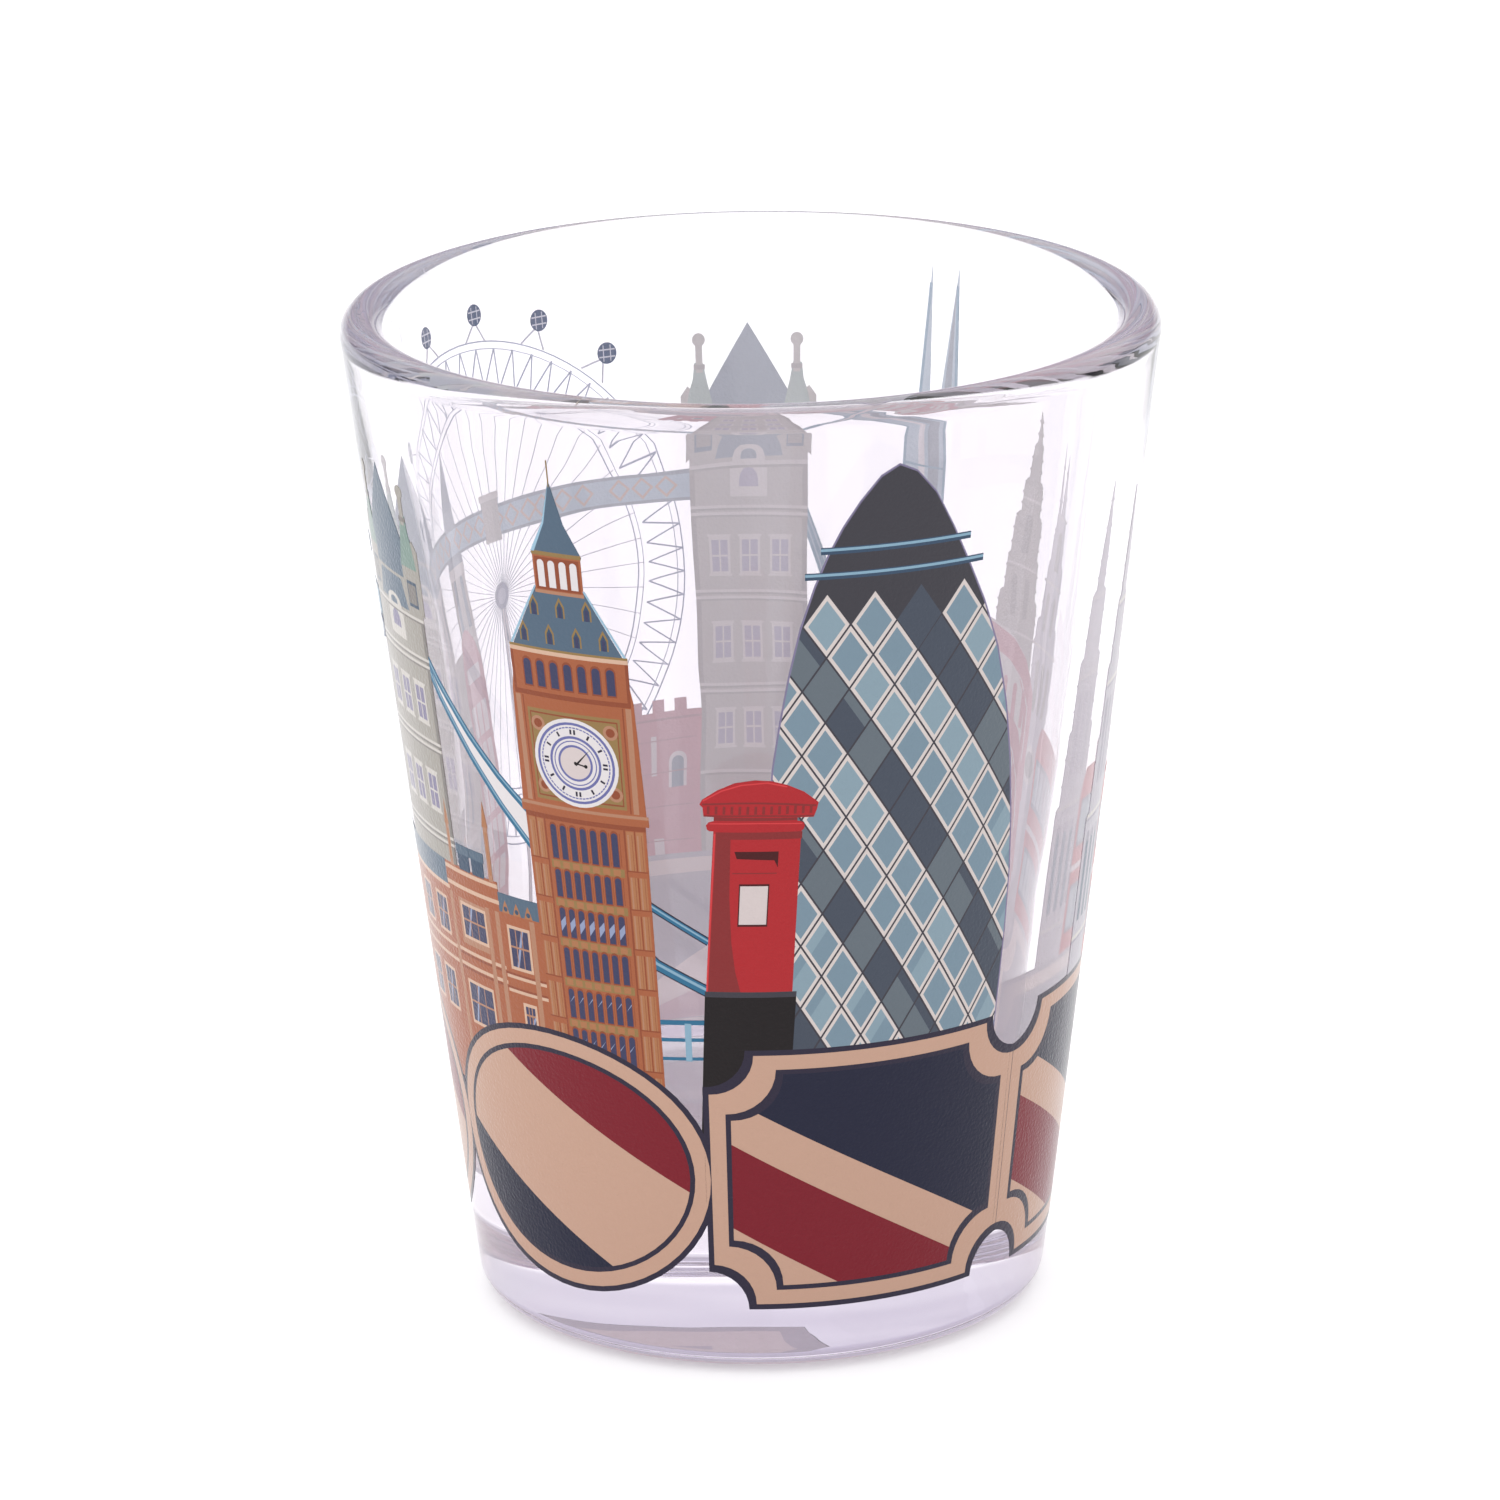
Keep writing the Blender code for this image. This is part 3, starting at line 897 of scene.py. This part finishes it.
def bridge_deck():
    """The chain's low end and the railing of the road, between the clock tower and the pillar box."""
    p = Picture("print_bridge_deck", "ink_steel_blue")
    for run, width in (
        ([(-20.0, 30.3), (-17.2, 29.6), (-8.0, 27.6)], 0.36),
        ([(-20.0, 27.1), (-16.9, 26.0), (-8.0, 24.4)], 0.58),
    ):
        p.ribbon("outline", run, width + 0.14, ground=True)
        p.ribbon("steel_blue", run, width, ground=True)
        p.ribbon("steel_light", [(x, y + width * 0.15) for x, y in run], width * 0.3)
    for y, width in ((22.4, 0.3), (21.3, 0.22), (20.1, 0.2)):
        p.ribbon("steel_blue", [(-18.0, y - 0.05), (-8.6, y + 0.12)], width, ground=True)
    p.block("steel_light", -12.6, 20.0, -11.5, 22.4, ground=True)


def palace_wing():
    """The long brick range beside the clock tower, in three stretches under slate roofs."""
    p = Picture("print_palace_wing", "ink_brick")
    p.blocks(
        ("brick", -88, 15, -62.5, 28.0), ("slate", -88, 27.7, -62.5, 29.3), ("brick", -63, 15, -47.5, 29.3),
        ("brick", -47.6, 15, -38.0, 27.7), ("slate", -47.6, 27.5, -38.0, 28.7), ground=True,
    )
    for x in (-56.2, -52.3):
        p.post("slate_dark", x, 1.6, 29.2, 30.4, ground=True)
        p.post("slate", x, 1.9, 30.2, 30.8, ground=True)
    for x, top in ((-48.9, 32.6), (-60.2, 31.8)):
        p.post("tan", x, 0.5, 29.2, top, ground=True)
        p.shape("ochre", [(x - 0.7, top), (x + 0.7, top), (x, top + 1.6)], ground=True)
        p.block("ochre", x - 0.1, 29.6, x + 0.3, top - 0.3)
    for x0, x1, y in ((-88, -62.5, 27.6), (-63, -47.5, 29.0), (-63, -47.5, 28.0)):
        p.block("pale_tan", x0, y - 0.13, x1, y + 0.13)
    for y in (23.7, 22.8):
        p.blocks(
            ("pale_tan", -88, y, -62.5, y + 0.22), ("pale_tan", -62.8, y + 0.1, -47.6, y + 0.32),
            ("pale_tan", -47.5, y - 0.3, -38, y - 0.08), ("brick_dark", -62.8, y - 0.1, -38, y + 0.05),
        )
    for x in (-62.2, -51.0, -48.4, -40.2):
        p.post("tan", x, 0.55, 15, 27.4)
    p.block("tan", -59.8, 24.4, -51.6, 27.3)
    for x0, y0, x1, y1 in (
        (-58.7, 25.0, -52.1, 26.9), (-59.8, 19.5, -52.6, 21.9), (-45.7, 24.2, -41.4, 26.6),
        (-69.2, 24.5, -65.0, 26.6), (-70.4, 19.6, -66.0, 21.9), (-77.0, 24.5, -73.0, 26.6),
        (-78.0, 19.6, -74.0, 21.9), (-43.8, 20.6, -41.6, 21.8),
    ):
        p.block("pale_tan", x0 - 0.5, y0 - 0.2, x1 + 0.5, y1 + 0.2)
        pane = p.block("window", x0, y0, x1, y1)
        glint = [(x0 + 1.0, y0), (x0 + 1.5, y0), (x0 + 3.3, y1), (x0 + 2.8, y1)]
        p.shape("glint", glint, within=pane)
        third = (x1 - x0) / 3
        for x in (x0 + third, x1 - third):
            p.post("tan", x, 0.1, y0, y1)
        p.block("tan", x0, (y0 + y1) / 2, x1, (y0 + y1) / 2 + 0.12)
    for x in (-46.0, -43.4, -40.8):
        p.shape("ochre", [(x - 0.9, 27.5), (x + 0.9, 27.5), (x + 0.4, 28.0), (x, 28.3), (x - 0.4, 28.0)])
        p.disc("slate_dark", x, 27.75, 0.16, 10)


def clock_face(p, x, y):
    """The dial: rings, a stroke at each hour, and two plain hands."""
    wide = degree(y)
    rings = (
        ("dial", 2.72), ("dial_line", 2.50), ("dial", 2.34), ("dial_line", 2.22), ("dial", 2.14),
        ("dial_line", 1.66), ("dial", 1.50), ("dial_line", 1.38), ("dial", 1.31), ("dial_line", 1.12),
        ("plate", 0.98),
    )
    for ink, radius in rings:
        p.disc(ink, x, y, radius, 40)
    for hour, turn in enumerate(turns(12)):
        reach = (math.cos(turn) / wide, math.sin(turn))
        side = (-math.sin(turn) / wide, math.cos(turn))
        for shift in ((0.0,) if hour % 3 else (-0.12, 0.12)):
            ends = [
                (x + radius * reach[0] + shift * side[0], y + radius * reach[1] + shift * side[1])
                for radius in (1.76, 2.06)
            ]
            p.ribbon("outline", ends, 0.13)
    for turn in turns(60):
        ends = [(x + r * math.cos(turn) / wide, y + r * math.sin(turn)) for r in (2.14, 2.26)]
        p.ribbon("dial", ends, 0.05)
    p.shape("black", [(x - 0.18, y - 0.1), (x + 0.2, y - 0.16), (x + 1.05 / wide, y + 0.98)])
    p.ribbon("black", [(x, y), (x + 0.62 / wide, y - 0.12)], 0.09)
    p.disc("black", x + 0.66 / wide, y - 0.12, 0.12, 10)
    p.disc("black", x, y, 0.1, 10)


def clock_tower():
    """The clock tower: a shaft of tall windows, the clock stage, a belfry and a steep slate roof."""
    p = Picture("print_clock_tower", "ink_brick", -28.3, lean=-0.05)
    p.whole("brick", [(10.7, 15), (10.7, 34.8), (11.0, 35.0), (10.3, 42.1), (9.2, 44.6)], ground=True)
    p.block("brick_dark", -9.9, 42.0, 9.9, 44.8, ground=True)
    p.whole("slate", [(9.4, 44.7), (3.9, 48.6)], ground=True)
    p.block("brick", -3.9, 48.4, 3.9, 50.9, ground=True)
    p.whole("slate", [(4.1, 50.7), (1.7, 52.6), (0.0, 55.2)], ground=True)
    p.ribbon("gold", [(0, 54.8), (0, 56.4)], 0.07)

    # Shaft
    for side in (-1, 1):
        for x in (8.0, 9.6):
            p.post("ochre", side * x, 0.62, 15, 34.2)
            p.block("tan", side * x - 0.46, 15, side * x - 0.2, 34.0)
            p.block("brick_dark", side * x + 0.26, 15, side * x + 0.34, 34.0)
        p.post("brick_dark", side * 7.1, 0.16, 15, 34.4)
        p.post("brick_dark", side * 8.8, 0.1, 15, 34.4)
    storeys = (
        (31.9, 34.0), (29.5, 31.2), (27.0, 28.8), (24.5, 26.3), (21.9, 23.7), (19.3, 21.2), (16.9, 18.7),
    )
    columns = spaced(-5.6, 5.3, 7)
    for number, (y0, y1) in enumerate(storeys):
        p.post("gold", 0, 6.6, y0 - 0.62, y0 - 0.12)
        for side in (-1, 1):
            inner, outer = sorted((side * 7.2, side * 10.6))
            p.block("brick", inner, y0 - 0.55, outer, y0 - 0.15)
            p.block("brick_dark", inner, y0 - 0.22, outer, y0 - 0.13)
        for x in columns:
            p.post("ochre", x, 0.62, y0 - 0.55, y0 - 0.18)
            p.arch("brick_dark", x - 0.66, y0 - 0.08, x + 0.66, y1 + 0.14)
            pane = p.arch("window", x - 0.54, y0, x + 0.54, y1)
            if number in (2, 4, 5):
                low = y0 + (0.3 if number == 2 else 0.9)
                glint = [(x - 0.5, low), (x + 0.5, low + 0.5), (x + 0.5, y1 - 0.5), (x - 0.5, y1 - 0.9)]
                p.shape("glint", glint, within=pane)
            p.block("brick_dark", x + 0.85, y0, x + 0.97, y1)
    p.block("brick_dark", -10.7, 34.25, 10.7, 34.55)
    p.block("brick", -11.3, 34.55, 11.3, 35.1, ground=True)
    p.block("tan", -11.3, 35.0, 11.3, 35.2)

    # Clock stage
    for side in (-1, 1):
        p.post("tan", side * 9.4, 0.45, 35.3, 41.8)
        p.post("brick_dark", side * 8.5, 0.12, 35.3, 41.8)
    p.blocks(("gold", -7.9, 35.5, 7.9, 41.1), ("brick_dark", -7.5, 35.7, 7.5, 40.9))
    p.block("gold", -7.3, 35.8, 7.3, 40.8)
    for x in (-6.2, 6.2):
        for y in (36.4, 40.2):
            p.disc("tan", x, y, 0.46, 14)
            p.disc("brick_dark", x, y, 0.28, 12)
    clock_face(p, -0.2, 38.05)

    # Belfry
    p.blocks(("brick", -9.4, 42.1, 9.4, 44.5), ("brick_dark", -9.9, 41.85, 9.9, 42.15))
    p.row(p.arch, "brick_dark", spaced(-7.0, 7.0, 7), 42.4, 44.25, 1.7)
    p.row(p.arch, "window", spaced(-7.0, 7.0, 7), 42.5, 44.1, 1.3)
    p.blocks(("pale_tan", -9.9, 44.5, 9.9, 44.75), ("gold", -9.9, 44.75, 9.9, 44.9), ground=True)

    # Roofs and lantern
    p.both("ice", [(9.3, 44.9), (9.7, 44.9), (4.1, 48.7), (3.8, 48.7)])
    dormers = [(x, 45.2) for x in (-6.9, -2.4, 2.1, 6.4)] + [(x, 46.9) for x in (-4.6, -0.2, 4.1)]
    for x, y in dormers:
        for ink, half, eave, ridge in (("gold", 0.75, 0.7, 1.25), ("slate_dark", 0.5, 0.6, 1.0)):
            right = [(x + half, y), (x + half, y + eave), (x, y + ridge)]
            p.shape(ink, [(x - half, y)] + right + [(x - half, y + eave)])
        p.arch("window", x - 0.28, y, x + 0.28, y + 0.7)
    p.block("gold", -4.0, 50.6, 4.0, 50.85, ground=True)
    p.block("brick_dark", -3.6, 48.55, 3.6, 50.5)
    p.row(p.arch, "dial", (-2.65, -0.9, 0.9, 2.65), 48.7, 50.35, 1.12)
    p.block("tan", -4.0, 48.3, 4.0, 48.5, ground=True)
    p.shape("ice", [(-4.1, 50.8), (-3.5, 50.8), (-1.4, 52.6), (0, 55.1), (-1.7, 52.6)])


def glass_tower():
    """A rounded tower clad in a net of diamond panes, wound round by darker bands."""
    p = Picture("print_glass_tower", "ink_pale_blue")
    outline = [
        (44.0, 12.0), (44.7, 20.0), (45.1, 26.0), (44.9, 30.0), (44.1, 33.4), (42.8, 37.0), (40.9, 40.6),
        (38.3, 44.2), (35.2, 47.2), (32.0, 49.8), (29.0, 52.2), (26.0, 54.4), (23.0, 55.8), (20.4, 56.3),
        (17.8, 55.7), (15.0, 54.3), (12.6, 52.8), (10.6, 51.2), (8.7, 49.3), (6.7, 46.8), (5.1, 44.0),
        (3.7, 41.0), (2.6, 38.2), (2.0, 35.0), (1.6, 31.0), (1.6, 25.0), (2.4, 18.0), (3.4, 12.0),
    ]
    middle = 23.0
    p.shape("mauve", [(middle + (x - middle) * 1.013, y + 0.12) for x, y in outline], ground=True)
    body = p.shape("mullion", outline, ground=True)
    across, down = 3.5, 1.97  # half a cell of the net, in degrees and millimetres
    start, shoulder = 24.4, 47.0  # the middle of the top cell
    pane = 0.77  # how much of its cell a pane fills

    def diamond(x, y, scale):
        """The right, upper, left and lower corner of a cell, or of a part of it."""
        wide = across * scale
        high = down * scale
        return [(x + wide, y), (x, y + high), (x - wide, y), (x, y - high)]

    dice = random.Random(3)
    for n in range(-4, 16):
        for m in range(max(-4, -n), 18):
            x = start + across * (m - n)
            y = shoulder - down * (m + n)
            clad = y >= 9 and inside((x, min(y, 46.0)), outline)
            if not clad and not any(inside(corner, outline) for corner in diamond(x, y, 1.0)):
                continue
            if n % 3 == 0:
                tones = ("band_dark", "band_grey") if dice.random() < 0.5 else ("band_grey", "band_dark")
                p.shape(tones[0], diamond(x, y, 1.0), within=body)
                if dice.random() < 0.4:
                    half = [
                        (x + across, y), (x, y + down),
                        (x - across * 0.25, y + down * 0.75), (x + across * 0.75, y - down * 0.25),
                    ]
                    p.shape(tones[1], half, within=body)
            else:
                tone = dice.choice(("pane", "pane", "pane", "pane_light"))
                p.shape(tone, diamond(x, y, pane), within=body)
                if dice.random() < 0.3:
                    other = "pane_light" if tone == "pane" else "pane"
                    wide, high = across * pane, down * pane
                    half = [
                        (x + wide, y), (x + wide * 0.35, y + high * 0.65),
                        (x - wide * 0.65, y - high * 0.35), (x, y - high),
                    ]
                    p.shape(other, half, within=body)
            for side in (-1, 1):
                ends = sorted([(x + side * across, y), (x, y + down)])
                p.ribbon("soot", ends, 0.11, within=body)
    zigzag = [(48.0, 60.0), (48.0, 45.0)]
    for k in range(3, -7, -1):
        x = start + 2 * across * k
        zigzag += [(x + across, shoulder), (x, shoulder + down)]
    p.shape("cap", zigzag + [(-6.0, 47.0), (-6.0, 60.0)], within=body)
    left, right = (start - across, shoulder), (start + across, shoulder)
    p.shape("band_dark", [left, (start, 45.03), right, (start, 48.97)], within=body)
    for y, x0, x1 in ((51.5, 9.4, 32.0), (50.0, 7.2, 34.4)):
        p.ribbon("slate_dark", [(x0, y), (20, y), (x1, y)], 0.42, ground=True)
        p.ribbon("steel_light", [(x0, y + 0.06), (20, y + 0.06), (x1, y + 0.06)], 0.16)


def pillar_box():
    """A red pillar box: domed cap with dentils, a slot, a blank notice plate and a black foot."""
    p = Picture("print_pillar_box", "ink_red", 0.2, lean=0.16)
    p.level = 34.0
    p.whole("black", [(7.6, 14), (7.6, 24.5)], ground=True)
    p.block("soot", -7.6, 24.15, 7.6, 24.5)
    p.shape("red", [(-7.4, 24.5), (6.9, 24.5), (6.6, 34.8), (-7.0, 34.8)], ground=True)
    p.shape("red_light", [(-7.4, 24.5), (-7.15, 24.5), (-6.65, 34.4), (-6.9, 34.4)])
    shade = [
        (-7.05, 24.5), (-1.7, 24.5), (-2.7, 25.8), (-3.5, 27.6), (-4.1, 30.4), (-4.3, 34.4), (-6.55, 34.4),
    ]
    p.shape("red_dark", shade)
    p.block("red_dark", -6.6, 34.05, 6.8, 34.5)
    p.block("red", -7.0, 35.0, 5.9, 35.6, ground=True)
    p.block("red_dark", -7.0, 35.2, 5.9, 35.55)
    collar = [(-7.6, 34.55), (6.6, 34.5), (7.0, 34.65), (7.1, 34.85), (6.9, 35.05), (6.2, 35.15)]
    p.shape("red", collar + [(-6.9, 35.2), (-7.8, 35.1), (-8.2, 34.9), (-8.0, 34.65)], ground=True)
    p.ribbon("red_light", [(-7.6, 35.02), (0, 35.05), (6.7, 34.98)], 0.07)
    dome = [
        (9.0, 36.25), (6.6, 36.95), (4.0, 37.4), (1.6, 37.65), (-1.0, 37.72), (-4.0, 37.55), (-6.6, 37.1),
    ]
    cap = [(-8.6, 35.45), (8.4, 35.35), (8.8, 35.8)] + dome + [(-8.9, 36.5), (-9.3, 36.2), (-8.8, 36.0)]
    p.shape("red", cap, ground=True)
    p.ribbon("red_dark", [(-8.9, 36.2), (-4, 36.3), (0, 36.3), (4, 36.22), (8.7, 36.05)], 0.12)
    for x in spaced(-7.9, 7.9, 14):
        p.post("red_dark", x, 0.22, 35.6, 36.1)
    p.ribbon("red_dark", [(-8.6, 35.5), (0, 35.52), (8.4, 35.42)], 0.1)
    p.ribbon("red_light", [(-8.8, 36.42), (-6, 37.05), (-3, 37.42), (1, 37.55), (4, 37.28)], 0.08)
    p.shape("slot", [(-3.6, 33.3), (3.3, 33.3), (3.3, 32.3), (2.7, 32.75), (-3.2, 32.85)])
    p.ribbon("red_dark", [(-3.8, 31.95), (0, 31.95), (3.2, 31.95)], 0.07)
    p.blocks(("slot", -2.65, 28.62, 2.15, 31.28), ("plate", -2.45, 28.75, 1.95, 31.15))


def ticket_outline(centre, half, bottom, top, scoop, steps=8):
    """A label with a quarter round scooped out of each corner; the scoop is in millimetres."""
    wide = scoop / degree((bottom + top) / 2)
    corners = (
        (centre + half, top, 180, 270), (centre + half, bottom, 90, 180),
        (centre - half, bottom, 0, 90), (centre - half, top, -90, 0),
    )
    points = []
    for x, y, start, end in corners:
        sweep = [math.radians(start + (end - start) * i / steps) for i in range(steps + 1)]
        points += oval(x, y, wide, scoop, sweep)
    return points


def plaque_layer(number, inset):
    """The outline of a plaque, drawn in by some millimetres."""
    centre = FIRST_PLAQUE + PLAQUE_STEP * number
    half = PLAQUE_HALF_WIDTH - inset / degree(12)
    bottom = PLAQUE_BOTTOM + inset
    top = PLAQUE_TOP - inset
    if number in TICKETS:
        return ticket_outline(centre, half, bottom, top, 2.4 + inset * 0.35)
    return oval(centre, (top + bottom) / 2, half, (top - bottom) / 2, turns(56))


def plaques():
    """Six bordered plaques round the foot, whose cream borders run together where they touch."""
    films = [Picture(f"print_plaque_{number + 1}", "ink_cream") for number in range(6)]
    for number, p in enumerate(films):
        p.shape("outline", plaque_layer(number, 0.0), ground=True)
    for number, p in enumerate(films):
        p.shape("cream", plaque_layer(number, 0.34), ground=True)
    for number, p in enumerate(films):
        p.shape("outline", plaque_layer(number, 1.25), ground=True)
        field = p.shape("cream", plaque_layer(number, 1.55), ground=True)
        centre = FIRST_PLAQUE + PLAQUE_STEP * number
        for ink, low, high in TICKET_STRIPES if number in TICKETS else OVAL_STRIPES:
            corners = ((-40.0, low), (40.0, low), (40.0, high), (-40.0, high))
            p.shape(ink, [(centre + x, y - STRIPE_FALL * x) for x, y in corners], within=field)


def make_print():
    """Every picture, from the ones behind to the ones in front, and then their films."""
    big_wheel()
    spire_tower()
    minster()
    phone_kiosk()
    castle_wall()
    abbey()
    monument()
    bus()
    walkway()
    chains()
    bridge_tower("print_bridge_tower_east", 180.5, 14.0)
    bridge_tower("print_bridge_tower_west", -69.0, 28.0)
    bridge_deck()
    palace_wing()
    clock_tower()
    glass_tower()
    pillar_box()
    plaques()
    face_inks, under_inks = make_inks()
    pictures = []
    for shape in Picture.painted:
        if shape.picture not in pictures:
            pictures.append(shape.picture)
    for picture in pictures:
        make_film(picture, face_inks, under_inks)


# ---------------------------------------------------------------- stage, light and camera

def make_floor():
    half = FLOOR_SIZE / 2
    mesh = bpy.data.meshes.new("floor")
    corners = [(-half, -half), (half, -half), (half, half), (-half, half)]
    mesh.from_pydata([(x, y, -FLOOR_DROP) for x, y in corners], [], [(0, 1, 2, 3)])
    floor = place("floor", mesh)
    floor.data.materials.append(floor_material())


def make_light():
    """A studio that is white overhead and grey and lavender low down, with one soft lamp on the left."""
    world = bpy.data.worlds.new("studio")
    world.use_nodes = True
    bpy.context.scene.world = world
    nodes = world.node_tree.nodes
    links = world.node_tree.links
    coordinates = nodes.new("ShaderNodeTexCoord")
    split = nodes.new("ShaderNodeSeparateXYZ")
    ramp = nodes.new("ShaderNodeValToRGB")
    links.new(coordinates.outputs["Generated"], split.inputs["Vector"])
    links.new(split.outputs["Z"], ramp.inputs["Fac"])
    links.new(ramp.outputs["Color"], nodes["Background"].inputs["Color"])
    set_inputs(nodes["Background"], {"Strength": STUDIO_STRENGTH})
    stops = ramp.color_ramp.elements
    for stop, (height, colour) in zip(stops, (STUDIO[0], STUDIO[-1])):
        stop.position = height
        stop.color = (*colour, 1.0)
    for height, colour in STUDIO[1:-1]:
        stops.new(height).color = (*colour, 1.0)
    soft_box = bpy.data.lights.new("soft_box", "AREA")
    soft_box.size = LAMP_SIZE
    soft_box.energy = LAMP_POWER
    lamp = place("soft_box", soft_box)
    lamp.location = LAMP_PLACE
    lamp.rotation_euler = (-LAMP_PLACE).to_track_quat("-Z", "Y").to_euler()
    bpy.context.scene.view_settings.view_transform = "Standard"
    paths = bpy.context.scene.cycles
    paths.max_bounces = 40
    paths.diffuse_bounces = 10
    paths.glossy_bounces = 10
    paths.transmission_bounces = 40


def make_camera():
    camera = place("camera", bpy.data.cameras.new("camera"))
    camera.data.lens = CAMERA_LENS
    camera.data.sensor_width = 36.0
    camera.data.clip_start = 0.01
    camera.data.clip_end = 20.0
    middle = Vector((0.0, 0.0, AIM_HEIGHT))
    away = Vector((0.0, -math.cos(CAMERA_ELEVATION), math.sin(CAMERA_ELEVATION)))
    up = Vector((0.0, math.sin(CAMERA_ELEVATION), math.cos(CAMERA_ELEVATION)))
    camera.location = middle + away * CAMERA_DISTANCE
    aim = middle + up * AIM_UP - Vector((AIM_LEFT, 0.0, 0.0))
    facing = (aim - camera.location).to_track_quat("-Z", "Y").to_matrix().to_4x4()
    camera.rotation_euler = (facing @ Matrix.Rotation(CAMERA_ROLL, 4, "Z")).to_euler()
    bpy.context.scene.camera = camera


make_camera()
make_light()
make_floor()
make_glass()
make_print()
